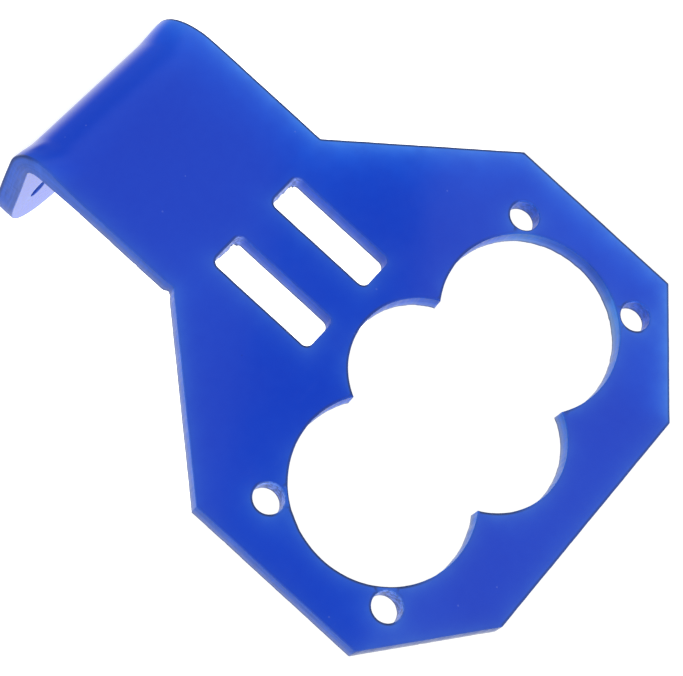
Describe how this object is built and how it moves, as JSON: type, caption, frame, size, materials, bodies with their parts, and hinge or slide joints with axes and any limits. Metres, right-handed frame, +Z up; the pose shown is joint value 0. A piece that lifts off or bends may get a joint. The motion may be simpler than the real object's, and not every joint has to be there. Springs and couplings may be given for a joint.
{
  "type": "pan servo head bracket",
  "caption": "Bent acrylic bracket: an upright head plate with a lobed window for a sensor or camera board, on a short flange that screws to a pan servo arm.",
  "frame": {"origin": "on the pan axis, at the underside of the flange, where the bracket sits on the servo arm", "axes": "+Z up along the pan axis and the head plate, +Y backwards from the head plate to the flange's round end, +X across the head; the head's front face looks along -Y"},
  "size_m": [0.0532, 0.0245, 0.0667],
  "materials": {
    "acrylic": "glossy milky royal-blue cast sheet, laser-cut edges, heat-bent"
  },
  "bodies": {
    "root": {"head_bracket": "acrylic"}
  },
  "joints": []
}
